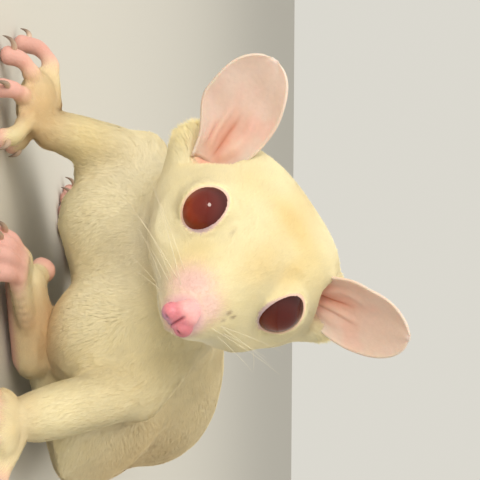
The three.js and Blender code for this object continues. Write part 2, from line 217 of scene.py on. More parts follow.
def finishPiece(piece, material, slot, *stoodFor):
    piece.data.materials.clear()
    piece.data.materials.append(material)
    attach(piece, "root")
    if stoodFor:
        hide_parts(*stoodFor)
    return piece


def addBall(bm, centre, radii, turn=None, detail=2):
    size = np.broadcast_to(np.asarray(radii, float) * mm, (3,))
    spin = Matrix(turn).to_4x4() if turn is not None else Matrix.Identity(4)
    place = Matrix.Translation(metres(centre)) @ spin @ Matrix.Diagonal([*size, 1])
    bmesh.ops.create_icosphere(bm, subdivisions=detail, radius=1, matrix=place)


# A closed tapered tube: one round face, extruded from point to point
def addSweep(bm, way, radii, sides=8):
    way = metres(way)
    radii = np.asarray(radii) * mm
    heading = unit(np.gradient(way, axis=0))
    old = Vector((0, 0, 1)).rotation_difference(Vector(heading[0]))
    start = Matrix.Translation(way[0]) @ old.to_matrix().to_4x4()
    ring = bmesh.ops.create_circle(bm, cap_ends=True, radius=radii[0], segments=sides, matrix=start)["verts"]
    cap = ring[0].link_faces[0]
    for i in range(1, len(way)):
        pushed = bmesh.ops.extrude_face_region(bm, geom=[cap])["geom"]
        cap = [g for g in pushed if isinstance(g, bmesh.types.BMFace)][0]
        bend = Vector(heading[i - 1]).rotation_difference(Vector(heading[i])).to_matrix().to_4x4()
        grow = Matrix.Scale(radii[i] / radii[i - 1], 4)
        move = Matrix.Translation(way[i]) @ bend @ grow @ Matrix.Translation(-way[i - 1])
        bmesh.ops.transform(bm, matrix=move, verts=list(cap.verts))


# Camera and light. The photo was taken with the camera on its side,
# so the picture's right is the animal's up.
photo = {
    "distance": 250,
    "azimuth": 25,
    "elevation": 3,
    "lens": 106.875,
    "sensor": 36,
    "clip": (0.01, 50),  # metres
    "aim": (-2.4, -0.2),  # along the upright picture's right and up, from the head's centre
}
azimuth, elevation = math.radians(photo["azimuth"]), math.radians(photo["elevation"])
pictureRight = np.array([math.cos(azimuth), math.sin(azimuth), 0])
levelWay = np.array([math.sin(azimuth), -math.cos(azimuth), 0])  # level, from the animal to the camera
towardsCamera = levelWay * math.cos(elevation) + (0, 0, math.sin(elevation))
pictureUp = np.cross(towardsCamera, pictureRight)
aim = np.array(placing["headCentre"]) + photo["aim"][0] * pictureRight + photo["aim"][1] * pictureUp
cameraData = bpy.data.cameras.new("Camera")
cameraData.lens = photo["lens"]
cameraData.sensor_width = photo["sensor"]
cameraData.clip_start, cameraData.clip_end = photo["clip"]
camera = putInScene("Camera", cameraData)
turn = Matrix([pictureUp, -pictureRight, towardsCamera]).transposed().to_4x4()
camera.matrix_world = Matrix.Translation(metres(aim + towardsCamera * photo["distance"])) @ turn
scene.camera = camera

lamps = {
    # right, up and towards the camera from the head in mm, size in mm, watts, colour
    "key": ((-270, 40, 480), 300, 0.2, "#FFF7EA"),
    "catchlight": ((-256, 38, 456), 150, 1.0, "#FFF7EA"),
    "fill": ((-420, 420, 420), 700, 2.6, "#FAF7EF"),
    "top": ((60, 700, -120), 700, 2.0, "#FFFAEE"),
}
room = {"colour": "#EDEAE0", "strength": 0.84}
for name, (offset, size, power, colour) in lamps.items():
    data = bpy.data.lights.new(name, "AREA")
    data.shape = "DISK"
    data.size = size * mm
    data.energy = power
    data.color = linear(colour)
    lamp = putInScene(name, data)
    lamp.visible_glossy = name == "catchlight"  # the only lamp mirrored in the eyes
    place = Vector(metres(aim + offset[0] * pictureRight + offset[1] * pictureUp + offset[2] * towardsCamera))
    turn = (place - Vector(metres(aim))).to_track_quat("Z", "Y").to_matrix().to_4x4()
    lamp.matrix_world = Matrix.Translation(place) @ turn
world = bpy.data.worlds.new("Studio")
scene.world = world
world.use_nodes = True
background = world.node_tree.nodes["Background"].inputs
background["Color"].default_value = (*linear(room["colour"]), 1)
background["Strength"].default_value = room["strength"]
scene.view_settings.view_transform = "Standard"
print("camera and lights placed")


# Adds a node, sets its properties and sockets, and links other nodes' outputs to it
def addNode(tree, kind, settings=None, links=None):
    node = tree.nodes.new(kind)
    for name, value in (settings or {}).items():
        if isinstance(name, str) and hasattr(node, name):
            setattr(node, name, value)
        else:
            node.inputs[name].default_value = value
    for name, output in (links or {}).items():
        tree.links.new(output, node.inputs[name])
    return node


# A material with its surface's sockets. Its colour, a plain one or the piece's own tint, is shaded between
# two values by an attribute, or by a texture of a width in mm and a detail that can also raise a bump.
def newMaterial(name, surface, pattern=None, shades=None, bump=None, plain=None):
    material = bpy.data.materials.new(name)
    material.use_nodes = True
    tree = material.node_tree
    tree.nodes.clear()
    shader = addNode(tree, "ShaderNodeBsdfPrincipled", surface)
    addNode(tree, "ShaderNodeOutputMaterial", links={"Surface": shader.outputs["BSDF"]})
    if not pattern:
        return material
    if isinstance(pattern, str):
        height = addNode(tree, "ShaderNodeAttribute", {"attribute_name": pattern}).outputs["Fac"]
    else:
        kind, width, detail = pattern
        space = addNode(tree, "ShaderNodeTexCoord").outputs["Object"]
        settings = {"Scale": 1 / (width * mm), "Detail": detail}
        height = addNode(tree, "ShaderNodeTex" + kind, settings, {"Vector": space}).outputs[0]
    settings = {"To Min": shades[0], "To Max": shades[1]}
    scale = addNode(tree, "ShaderNodeMapRange", settings, {"Value": height}).outputs[0]
    shade = addNode(tree, "ShaderNodeVectorMath", {"operation": "SCALE"}, {"Scale": scale})
    if plain:
        shade.inputs[0].default_value = linear(plain)
    else:
        tint = addNode(tree, "ShaderNodeAttribute", {"attribute_name": "tint"})
        tree.links.new(tint.outputs["Color"], shade.inputs[0])
    tree.links.new(shade.outputs[0], shader.inputs["Base Color"])
    if bump:
        settings = {"Distance": bump[0] * mm, "Strength": bump[1]}
        raised = addNode(tree, "ShaderNodeBump", settings, {"Height": height})
        tree.links.new(raised.outputs["Normal"], shader.inputs["Normal"])
    return material


# Skin under fur: dry, soft and pale, its fine hairs too thin to model, so they are a bump
skinMaterial = newMaterial(
    "Soft skin with underfur",
    {
        "Roughness": 0.62,
        "IOR": 1.4,
        "Subsurface Weight": 0.12,
        "Subsurface Scale": 0.002,
        "Subsurface Radius": (1, 0.4, 0.25),
    },
    pattern=("Noise", 0.45, 4),
    shades=(0.93, 1.05),
    bump=(0.12, 0.7),  # mm and strength
)

# Keratin fur of an unpigmented coat: matt, with a soft sheen and tips a little paler than the roots
coatMaterial = newMaterial(
    "Cream keratin fur",
    {
        "Roughness": 0.75,
        "Specular IOR Level": 0.2,
        "Sheen Weight": 0.25,
        "Sheen Roughness": 0.5,
        "Sheen Tint": (*linear("#FFF3D8"), 1),
        "Subsurface Weight": 0.32,
        "Subsurface Radius": (1, 0.85, 0.65),
        "Subsurface Scale": 0.0012,
    },
    pattern="along",
    shades=(0.95, 1.02),
)

# Cornea over a retina that shows red through it: very smooth and wet. Its colour is shaded by a painted glow,
# bright in front and dark towards the ball's edge
eyeMaterial = newMaterial(
    "Wet ruby eye",
    {
        "Roughness": 0.12,
        "Specular IOR Level": 0.0,
        "Coat Weight": 1.0,
        "Coat Roughness": 0.02,
        "Coat IOR": 1.42,
    },
    pattern="glow",
    shades=(0.5, 1.0),
)

# Bare nose leather: moist, finely pebbled
noseMaterial = newMaterial(
    "Moist nose leather",
    {"Roughness": 0.36, "IOR": 1.42, "Subsurface Weight": 0.15, "Subsurface Scale": 0.001},
    pattern=("Voronoi", 0.35, 0),
    shades=(1.03, 0.93),
    bump=(0.06, 0.5),
)

# Ear skin: thin, dry and a little see-through, with a faint grain
earMaterial = newMaterial(
    "Thin bare ear skin",
    {
        "Roughness": 0.5,
        "IOR": 1.4,
        "Subsurface Weight": 0.35,
        "Subsurface Scale": 0.0015,
        "Subsurface Radius": (1, 0.45, 0.3),
    },
    pattern=("Noise", 0.8, 4),
    shades=(0.93, 1.06),
    bump=(0.1, 0.6),
)

# Claw horn: smooth, pale at the root and grey-brown at the tip, faintly streaked
clawHorn = {"Roughness": 0.32, "IOR": 1.54}
clawMaterial = newMaterial("Claw horn", clawHorn, pattern=("Noise", 0.3, 3), shades=(0.9, 1.08))

# Whisker keratin: glossy pale hair
whiskerKeratin = {"Base Color": (*linear("#F3E8CE"), 1), "Roughness": 0.4, "IOR": 1.54}
whiskerMaterial = newMaterial("Whisker keratin", whiskerKeratin)

# Studio floor: matt painted board
board = {"Roughness": 0.85}
floorMaterial = newMaterial("Matt painted board", board, ("Noise", 1.5, 2), (0.99, 1.01), plain="#C9C6BF")
print("materials made")

bm = bmesh.new()
bmesh.ops.create_grid(bm, x_segments=8, y_segments=8, size=3)
floor = newObject("floor", bm, smooth=False)
floor.data.materials.append(floorMaterial)

# The coat's colours, as soft balls laid over a cream ground, from first to last
coat = {
    "cream": "#FDF0C2",
    "yellow": "#F8E09C",
    "gold": "#F2CF80",
    "white": "#FBF5E2",
    "tan": "#E6C08A",
    # the back's and flanks' own tan, made darker as painted shade
    "flankTanAndShade": "#D6B278",
    "freckle": "#A98F6E",
}
bareSkin = {
    "muzzle": "#CB9AA6",
    "digit": "#D3A398",
    "joint": "#CE8E7C",
    "ear": "#DDA692",
    "rim": "#DDB0AA",
    "lowerRim": "#F2D0B0",
    "corner": "#AF9CAE",  # the rim's end towards the nose
}
marks = [
    # frame, centre, radii in mm, colour, share at the centre
    ("head", (0, 4, 12), (5, 13, 7), "gold", 0.4),
    ("head", (0.9, -1.4, 11.4), (8, 3, 4), "gold", 0.5),
    ("head", (6.5, -5.5, 7), (2.5, 5, 4), "gold", 0.5),
    ("head", (1.5, -9, 5), (4, 7, 5), "gold", 0.45),
    ("head", (8, -2, 9), (6, 6, 4), "yellow", 0.5),
    ("head", (-9, 0, 8), (4, 5, 4), "yellow", 0.4),
    ("head", (-6, -14, -1), (4, 5, 4), "yellow", 0.5),
    ("head", (0, -16, -9), (12, 10, 5), "white", 0.8),
    ("head", (-13, -2, -9), (9, 9, 6), "white", 0.35),
    ("body", (-22, 2, 16), (6, 9, 8), "yellow", 0.7),
    ("body", (-24, -4, 7), (8, 9, 6), "tan", 0.9),
    ("body", (10, 10, 8), (11, 11, 7), "tan", 0.95),
    ("body", (32, -5, 7), (8, 8, 5), "tan", 0.4),
    ("body", (-31, 66, 5), (8, 14, 6), "tan", 0.7),
    ("body", (14, 16, 24), (7, 6, 8), "yellow", 0.35),
    # back and flanks: their own tan, darkened further as painted shade
    ("body", (26, 54, 20), (16, 48, 18), "flankTanAndShade", 0.75),
    ("body", (-22, 54, 20), (14, 46, 17), "flankTanAndShade", 0.6),
    ("body", (4, 66, 36), (22, 58, 16), "flankTanAndShade", 0.5),
    ("body", (-19, 7, 22), (11, 11, 12), "white", 0.4),
    ("body", (-27, -6, 6), (8, 7, 4), "tan", 0.6),
    ("body", (2, -2, 20), (14, 9, 16), "white", 0.4),
    ("head", (-5.2, -8.6, 4.8), (0.55, 2.4, 0.7), "freckle", 0.6),
    ("head", (4.2, -17.5, -0.6), (0.45, 1.8, 0.45), "freckle", 0.75),
    ("head", (5.3, -16.8, -0.9), (0.4, 1.8, 0.4), "freckle", 0.7),
    ("head", (4.5, -17.6, -1.8), (0.4, 1.8, 0.4), "freckle", 0.65),
    ("body", (2, 50, 6), (20, 40, 8), "white", 0.5),
]
# Where the hair thins out and the pink skin shows: head frame, centre, radii, share
thinPlaces = [
    ((-3.0, -19.4, -2.0), (6.6, 5.6, 5.6), 0.75),
    ((0.5, -20.8, -1.4), (5, 5, 4.4), 0.7),
    ((-0.7, -23.6, -4), (6, 4.8, 5.5), 1.0),
    ((0, -19, -7.5), (5, 4, 2), 0.4),
]


def softBall(points, centre, radii):
    return np.exp(-1.4 * np.sum(((points - np.asarray(centre)) / np.asarray(radii)) ** 2, axis=1) ** 1.3)


def coatColour(points):
    inHead = toHead(points)
    colour = np.tile(linear(coat["cream"]), (len(points), 1))
    for place, centre, radii, name, share in marks:
        near = softBall(inHead if place == "head" else points, centre, radii)
        if place == "head":
            near = near * ease(24, 18, inHead[:, 1])  # these end at the back of the head
        colour = towards(colour, coat[name], share * near)
    patch = 1 + 0.018 * ripple(points, 9, 3)[:, None] + 0.015 * ripple(points, 3.2, 4)[:, None]
    return colour * patch


# Paws: palm, knuckles and digits where the solids have them, with rounder digits.
# "root" is the wrist or heel, "spread" half the palm's length and width, and "pads" the digits' ends.
paws = {
    "hand_right": {
        "root": (-22.5, -3.5, 8.5),
        "palm": (-27, -5.8, 5.6),
        "spread": (7.2, 5.2),
        "pads": [(-20, -3.6), (-17.2, -11), (-25, -15), (-32.8, -13.2), (-41, -4.2)],
        "knuckles": [4.8, 4.8, 4.4, 5.8, 7.3],
    },
    "hand_left": {
        "root": (31, -3.4, 8.4),
        "palm": (34, -7.2, 5.2),
        "spread": (7.2, 5.2),
        "pads": [(27.2, -13.4), (30.8, -18.8), (36.2, -19.4), (42, -15.6), (47.4, -6)],
        "knuckles": [4.4, 4.2, 4.2, 4.6, 5.4],
    },
    "foot_left": {
        "root": (13.3, 15.8, 4.8),
        "palm": (3.8, 4.8, 4.2),
        "spread": (4.6, 5.4),
        "pads": [(-0.8, 9.4, 6.2), (-0.6, -6), (1.6, -8.6), (4.6, -10.2), (7.4, -8.8)],
        "knuckles": [5.4, 4.6, 4.6, 4.6, 4.4],
    },
    "foot_right": {
        "root": (-29.8, 74.5, 4.8),
        "palm": (-32.6, 63, 3.8),
        "spread": (4.6, 5.4),
        "pads": [(-27, 61, 3), (-29.6, 51.2), (-32.8, 50), (-36.2, 50.6), (-39.4, 53.6)],
        "knuckles": [4.4, 4.4, 4.4, 4.4, 4.4],
    },
}
pawSizes = {
    "digit": 1.6,  # mm, the radius that the digit's profile multiplies
    "profile": [(0, 1.3), (0.2, 1.04), (0.42, 1.12), (0.6, 0.86), (0.8, 1.0), (1, 1.08)],
    "bone": 2.1,  # radius of the long bones at the wrist
    "arm": (3.4, 3.0),  # radii of the flesh from the wrist to the palm
    "leg": (4.5, 3.8),
    "web": 1.05,
    "digitReach": 5.6,
    "padHeight": 1.62,
    "clawlessToe": 1.4,
    "voxel": 0.44,
}


# The way of a digit from the palm to its pad, and the place of its knuckle
def digitWay(paw, i):
    palm, pad, knuckle = np.array(paw["palm"]), paw["pads"][i], paw["knuckles"][i]
    reach = np.array([pad[0] - palm[0], pad[1] - palm[1]])
    length = np.linalg.norm(reach)
    way = reach / length
    padHeight = pad[2] if len(pad) > 2 else pawSizes["padHeight"]
    at = [length * 0.2, length - min(pawSizes["digitReach"], length * 0.55), length - 1.3, length]
    height = [palm[2], knuckle, mix(knuckle, padHeight, 0.42), padHeight]
    places = [(*(palm[:2] + way * d), z) for d, z in zip(at, height)]
    return curveThrough(places, 26), way, np.array(places[1])


def addRow(bm, start, end, radii, count):
    for share in np.linspace(0, 1, count):
        addBall(bm, mix(start, end, share), mix(*radii, share))


def buildPaw(name, paw):
    bm = bmesh.new()
    root, palm = np.array(paw["root"]), np.array(paw["palm"])
    addRow(bm, root, palm, pawSizes["leg" if "foot" in name else "arm"], 9)
    addBall(bm, palm, (paw["spread"][0] * 0.9, paw["spread"][1] * 0.9, palm[2] - 1.8))
    profile = np.array(pawSizes["profile"])
    knuckles = []
    for i in range(5):
        thick = pawSizes["digit"]
        if i == 0 and "foot" in name:
            thick *= pawSizes["clawlessToe"]
        way, _, knuckle = digitWay(paw, i)
        knuckles.append(knuckle)
        addRow(bm, root, knuckle - (0, 0, 0.1), (pawSizes["bone"], thick * 1.02), 12)
        share = np.linspace(0, 1, len(way))
        for place, size in zip(way, thick * np.interp(share, profile[:, 0], profile[:, 1])):
            addBall(bm, place, size)
        addBall(bm, way[-1] - (0, 0, 0.3), (thick * 1.18, thick * 1.18, thick * 0.98))  # the pad's cushion
    first = 1 if "foot" in name else 0
    for a, b in zip(knuckles[first:], knuckles[first + 1 :]):
        addRow(bm, a - (0, 0, 0.6), b - (0, 0, 0.6), (pawSizes["web"], pawSizes["web"]), 7)
    return remesh(newObject(name, bm), pawSizes["voxel"])


# One skin for all flesh. The solids are grown a little so that neighbours meet, fused by a voxel
# remesh and relaxed, then drawn in by the depth of the coat.
skinSizes = {
    "grow": 0.35,
    "voxel": 0.92,
    # rounds of relaxing: of the whole skin, round the neck, at the limbs' roots, behind the ears, by the eyes
    "rounds": {"skin": 12, "neck": 90, "limb": 36, "nape": 60, "lids": 110},
    "face": ((0, -6, 0), (20, 21, 16)),  # the ball that holds the face: centre and radii in the head's frame
}
coatColumns = ["depth", "length", "width", "closeness", "lean"]
coatTable = {
    # depth of the coat, tuft length and width in mm, tufts to the square mm, lean of the tips outwards
    "head": (0.5, 1.6, 0.13, 42, 0.6),
    "neck": (0.9, 2.4, 0.13, 28, 0.5),
    "chest": (1.1, 2.8, 0.13, 27, 0.5),
    "belly": (1.1, 3.2, 0.2, 14, 0.5),
    "hips": (1.1, 3.2, 0.2, 14, 0.5),
    "tail_root": (1.5, 4.4, 0.2, 13, 0.6),
    "tail_middle": (1.8, 5.2, 0.21, 12, 0.65),
    "tail_tip": (1.8, 6.0, 0.2, 13, 0.75),
    "upper_arm": (0.9, 2.2, 0.13, 25, 0.5),
    "forearm": (0.8, 1.8, 0.13, 26, 0.5),
    "thigh": (1.1, 2.8, 0.19, 14, 0.55),
    "shank": (0.8, 2.0, 0.15, 20, 0.55),
    "membrane": (0.7, 2.2, 0.17, 14, 0.55),
    "hand": (0.1, 0.9, 0.12, 36, 0.6),
    "foot": (0.1, 0.9, 0.12, 36, 0.6),
}
fleshNames = [n for n in nodes if not n.startswith(("eye", "ear", "nose"))]


bm = bmesh.new()
for name in [n for n in fleshNames if n not in paws] + ["eye_right", "eye_left"]:
    bm.from_mesh(nodes[name].data)
bmesh.ops.remove_doubles(bm, verts=bm.verts, dist=1e-6)
bm.normal_update()
for v in bm.verts:
    v.co += v.normal * skinSizes["grow"] * mm
skin = remesh(newObject("skin", bm), skinSizes["voxel"])
edges = edgePairs(skin.data)
writePlaces(skin.data, relax(readPlaces(skin.data), edges, skinSizes["rounds"]["skin"]))
print("skin fused:", len(skin.data.polygons), "faces")

# Which node each place of the skin belongs to, from the nearest face of the solids
bm = bmesh.new()
faceNode = []
for name in fleshNames:
    bm.from_mesh(nodes[name].data)
    faceNode += [fleshNames.index(name)] * len(nodes[name].data.polygons)
solidTree = BVHTree.FromBMesh(bm)
bm.free()


def nearestNode(mesh):
    return np.array([faceNode[solidTree.find_nearest(v.co)[2]] for v in mesh.vertices])


def tableValues(owner, column):
    rows = [coatTable[n.removesuffix("_left").removesuffix("_right")] for n in fleshNames]
    return np.array(rows)[owner, coatColumns.index(column)]


# The fused skin is drawn in by the coat's depth
owner = nearestNode(skin.data)
depth = relax(tableValues(owner, "depth"), edges, 30) + skinSizes["grow"] * 0.6
normals = relax(readNormals(skin.data), edges, 6)
places = relax(readPlaces(skin.data) - unit(normals) * depth[:, None], edges, 4)
# where neck and limbs leave the trunk the flesh runs on in one slope
for label in ("neck", "upper_arm", "thigh", "membrane"):
    near = relax(np.char.startswith(np.array(fleshNames), label)[owner], edges, 24)
    rounds = skinSizes["rounds"]["neck" if label == "neck" else "limb"]
    places = relax(places, edges, rounds, 0.5, np.clip(4 * near * (1 - near), 0, 1))
# behind the ears the head is round
inHead = toHead(places)
behind = ease(5, 12, inHead[:, 1]) * (1 - ease(22, 28, sizeOf(inHead)))
places = relax(places, edges, skinSizes["rounds"]["nape"], 0.5, behind)
writePlaces(skin.data, places)

for name, paw in paws.items():
    part = buildPaw(name + "_paw", paw)
    join = skin.modifiers.new("Join", "BOOLEAN")
    join.operation = "UNION"
    join.solver = "MANIFOLD"
    join.object = part
    applyModifiers(skin)
    bpy.data.objects.remove(part)
places = readPlaces(skin.data)
edges = edgePairs(skin.data)
wrist = np.zeros(len(places))
for paw in paws.values():
    wrist = np.maximum(wrist, 1 - ease(3, 8, sizeOf(places - paw["root"])))
places = relax(places, edges, 16, 0.5, wrist)
places = relax(places, edges, 2, 0.4)
places[:, 2] = np.maximum(places[:, 2], 0.03)
writePlaces(skin.data, places)
print("paws joined:", len(skin.data.polygons), "faces")

# Head: finer faces first, then the ears' hollows, sockets and lids
eyes = {
    "radius": 4.9,
    "centre": (9.9, -5.6, 2.2),  # the left eye's, in the head's own frame
    "aim": (0.456, -0.849, 0.268),  # the way it looks
    "opening": (4.25, 3.48),  # half its length and half its height
    "slant": 50,  # degrees that its length turns down from the way to the nose
    "corner": 0.1,  # how far the opening is drawn out at its two corners
    "lid": 0.42,
    "socket": 0.7,  # how far the skin sinks behind the ball's face
    "cornea": 0.22,
    # painted light: the ball is painted dark mauve above and red below, where light leaves it, and the left
    # one is painted darker as shade
    "above": "#5C2A28",
    "middle": "#621C12",
    "below": "#983612",
    "pupil": "#6A2019",
    "paintedLight": {"right": 1, "left": 0.6},
}


def eyeFrame(side):
    flip = np.array([side, 1, 1])
    centre, aim = np.array(eyes["centre"]) * flip, unit(np.array(eyes["aim"]) * flip)
    inward = np.array([0, -24, -5]) - centre  # towards the nose
    inward = unit(inward - aim * (inward @ aim))
    upward = np.cross(aim, inward) * -side
    slant = math.radians(eyes["slant"])
    length = inward * math.cos(slant) - upward * math.sin(slant)
    return centre, aim, length, upward * math.cos(slant) + inward * math.sin(slant)


# Each place's distance from an eye's centre, how far out it is on the ball, the opening's edge there,
# the angle round the eye, and how far the place lies beyond that edge
def aroundEye(points, side):
    centre, aim, inward, upward = eyeFrame(side)
    v = points - centre
    distance = sizeOf(v)
    ahead = v @ aim
    x, y = v @ inward, v @ upward
    radial = np.hypot(x, y)
    angle = np.arctan2(y, x)
    edge = 1 / np.hypot(np.cos(angle) / eyes["opening"][0], np.sin(angle) / eyes["opening"][1])
    edge = edge + eyes["corner"] * np.cos(angle) ** 8
    onBall = np.where(ahead > 0, radial / np.maximum(distance, 1e-6) * eyes["radius"], 9.0)
    return distance, onBall, edge, angle, np.where(ahead > 0, np.maximum(radial, onBall), 9.0) - edge


def refine(piece, chosen):
    bm = bmesh.new()
    bm.from_mesh(piece.data)
    bm.verts.ensure_lookup_table()
    picked = [e for e in bm.edges if chosen[e.verts[0].index] and chosen[e.verts[1].index]]
    bmesh.ops.subdivide_edges(bm, edges=picked, cuts=1, use_grid_fill=True)
    bmesh.ops.triangulate(bm, faces=[f for f in bm.faces if len(f.verts) > 4])
    bm.to_mesh(piece.data)
    bm.free()
    piece.data.shade_smooth()


# Ears. "inwards" is the side of the grid that is nearer the head's middle, "drawnIn" how much the other
# side narrows at the base, "middle" how far the bare hollow before the ear lies from its axis,
# and "bareTo" and "dentTo" where bare skin and hollow end, in mm before that axis.
earHollow = {"width": 4.1, "depth": 4.2}
ears = {
    "length": 18.0,
    "width": 14.4,
    "thickness": 0.5,
    "sunk": 4.5,
    "widest": 0.5,
    "folds": [
        # side of the middle line at the base and its lean, width, height in mm, start and end along the ear
        (0.3, 0.2, 0.18, 0.7, 0.1, 0.4),
        (0.02, 0.05, 0.06, -0.4, 0.08, 0.5),
        (-0.16, -0.25, 0.08, 0.55, 0.12, 0.56),
        (-0.5, -0.1, 0.14, 0.5, 0.14, 0.46),
        (0.6, -0.5, 0.12, 0.4, 0.2, 0.62),
    ],
    "right": {
        "base": (-17.6, 7.5, 6.6),
        "tip": (-24, 8.6, 23.5),
        "facing": (-0.2, -1, 0.25),
        "inwards": 1,
        "drawnIn": 0.34,
        "middle": 0.7,
        "bareTo": (1.6, 4.2),
        "dentTo": (2.4, 7.0),
    },
    "left": {
        "base": (16.6, 7.6, 5.7),
        "tip": (26.9, 1.6, 15.7),
        "facing": (0.5, -1, 0.35),
        "inwards": -1,
        "drawnIn": 0.08,
        "middle": -0.2,
        "bareTo": (2.6, 5.6),
        "dentTo": (3.0, 7.6),
    },
    "edge": "#D8C6BC",
    "deep": "#DFA793",
    "blotch": "#DDB3A8",
    # painted highlight on the raised folds, and painted shade in the crease
    "paintedRidgeHighlight": "#EFD2C4",
    "paintedCreaseShade": "#C27A5E",
    "rim": "#E6D6C4",
}


# An ear's base, its axis, the way its cup opens and the way across, in the head's frame
def earFrame(shape):
    base = np.array(shape["base"])
    axis = unit(np.array(shape["tip"]) - base)
    facing = np.array(shape["facing"])
    facing = unit(facing - axis * (facing @ axis))
    return base, axis, facing, np.cross(axis, facing)


# How much of each place lies in the bare hollow of an ear's cup
def inCup(points, shape, low, high):
    base, axis, facing, across = earFrame(shape)
    v = points - base
    along, ahead = v @ axis, v @ facing
    beside = v @ across * shape["inwards"] - shape["middle"]
    cup = bell(beside, earHollow["width"], 4) * ease(-1.3, -0.2, ahead)
    return cup * (1 - ease(low, high, ahead)) * ease(-8, -6, along) * (1 - ease(7, 10, along))


def outOfFace(points):
    centre, radii = skinSizes["face"]
    return sizeOf((points - centre) / radii)


refine(skin, outOfFace(toHead(readPlaces(skin.data))) < 1)
inHead = toHead(readPlaces(skin.data))
for name in ("right", "left"):
    dent = earHollow["depth"] * inCup(inHead, ears[name], *ears[name]["dentTo"])
    inHead = inHead - earFrame(ears[name])[1] * dent[:, None]
writePlaces(skin.data, fromHead(inHead))
finer = sizeOf(inHead - (0, -23, -6)) < 7  # nose and mouth
for side in (-1, 1):
    distance, onBall, _, _, _ = aroundEye(inHead, side)
    finer |= (onBall < 5.2) & (distance < 7.5)
refine(skin, finer)
inHead, edges = toHead(readPlaces(skin.data)), edgePairs(skin.data)
for side in (-1, 1):
    centre, aim, _, _ = eyeFrame(side)
    distance, onBall, edge, angle, _ = aroundEye(inHead, side)
    near = (distance < 8) & (onBall < 8)
    beyond = onBall - edge
    snapped = np.where(np.abs(beyond) < 0.16, 0, beyond)
    inside = snapped < 0
    lid = eyes["radius"] + 0.1 + eyes["lid"] * ease(0, 0.45, snapped)
    wanted = np.where(inside, eyes["radius"] - eyes["socket"], lid)
    blend = np.where(inside, 1.0, 1 - ease(0.5, 2.4, snapped))
    goal = mix(distance, wanted, blend)
    # a shallow fold runs round the lid, deepest above the eye
    fold = 0.1 * bell(snapped - 1.15, 0.35) * (0.6 + 0.4 * np.sin(angle))
    goal = np.where(inside, goal, np.maximum(goal - fold, eyes["radius"] + 0.1 + 0.2 * ease(0, 0.3, snapped)))
    v = inHead - centre
    heading = unit(v)
    shift = np.where(np.abs(beyond) < 0.16, -beyond, 0)
    outward = unit(v - aim * (v @ aim)[:, None])
    moved = centre + unit(heading * eyes["radius"] + outward * shift[:, None]) * goal[:, None]
    inHead = np.where(near[:, None], moved, inHead)
# outside the lids the face runs on smoothly
ring = np.zeros(len(inHead))
for side in (-1, 1):
    distance, _, _, _, beyond = aroundEye(inHead, side)
    here = ease(0.45, 1.1, beyond) * (1 - ease(3.2, 5.0, beyond))
    ring = np.maximum(ring, np.where(distance < 10, here, 0))
inHead = relax(inHead, edges, skinSizes["rounds"]["lids"], 0.5, ring)
writePlaces(skin.data, fromHead(inHead))
print("head refined:", len(skin.data.polygons), "faces")

# Mouth: a groove that runs back from under the nose on both sides, lips a little full beside it
mouth = {
    "line": [(0, -24.4, -8.2), (2.4, -22.6, -9.0), (4.6, -19.2, -9.6), (6.6, -15, -9.8), (8.0, -10.6, -9.2)],
    "width": 0.45,
    "depth": 0.75,
    "lip": 0.25,
}
skinTree = treeOf(skin.data)


def ontoSkin(points):
    return np.array([skinTree.find_nearest(Vector(p))[0] for p in metres(points)]) / mm - placing["shift"]


places, normals = readPlaces(skin.data), readNormals(skin.data)
inHead = toHead(places)
low = (inHead[:, 1] < -6) & (inHead[:, 2] < 0)
for side in (-1, 1):
    line = curveThrough(np.array(mouth["line"]) * (side, 1, 1), 70)
    far = np.full(len(places), 99.0)
    for place in ontoSkin(fromHead(line)):
        far[low] = np.minimum(far[low], sizeOf(places[low] - place))
    groove = mouth["depth"] * bell(far, mouth["width"])
    lips = mouth["lip"] * bell(far - 1.1, 0.7)
    places = places + normals * (lips - groove)[:, None]
writePlaces(skin.data, places)

# Eyes: a ball with the cornea raised a little in front
for side, name in ((-1, "right"), (1, "left")):
    bm = bmesh.new()
    centre, aim, _, _ = eyeFrame(side)
    addBall(bm, fromHead(centre), eyes["radius"], detail=6)
    eye = newObject("eye_" + name + "_ball", bm)
    places = toHead(readPlaces(eye.data))
    v = unit(places - centre)
    ahead = v @ aim
    places = centre + v * (eyes["radius"] - 0.05 + eyes["cornea"] * ease(0.72, 1, ahead))[:, None]
    writePlaces(eye.data, fromHead(places))
    # painted light: the red runs from dark above to bright below, where light leaves the ball
    lower = 0.5 - 0.5 * v @ unit(np.array([-0.35 * side, 0.1, 1]))
    red = towards(eyes["above"], eyes["middle"], ease(0.15, 0.5, lower))
    red = towards(red, eyes["below"], ease(0.4, 0.9, lower))
    red = towards(red, eyes["pupil"], 0.4 * ease(0.93, 0.97, ahead))
    # painted shade: the left ball's colour is darker
    addAttribute(eye.data, "tint", red * eyes["paintedLight"][name])
    # painted glow: bright in front, dark towards the edge
    addAttribute(eye.data, "glow", 0.2 + 0.8 * ease(0.62, 0.9, ahead))  # dark towards the ball's edge
    finishPiece(eye, eyeMaterial, "eye", "eye_" + name)

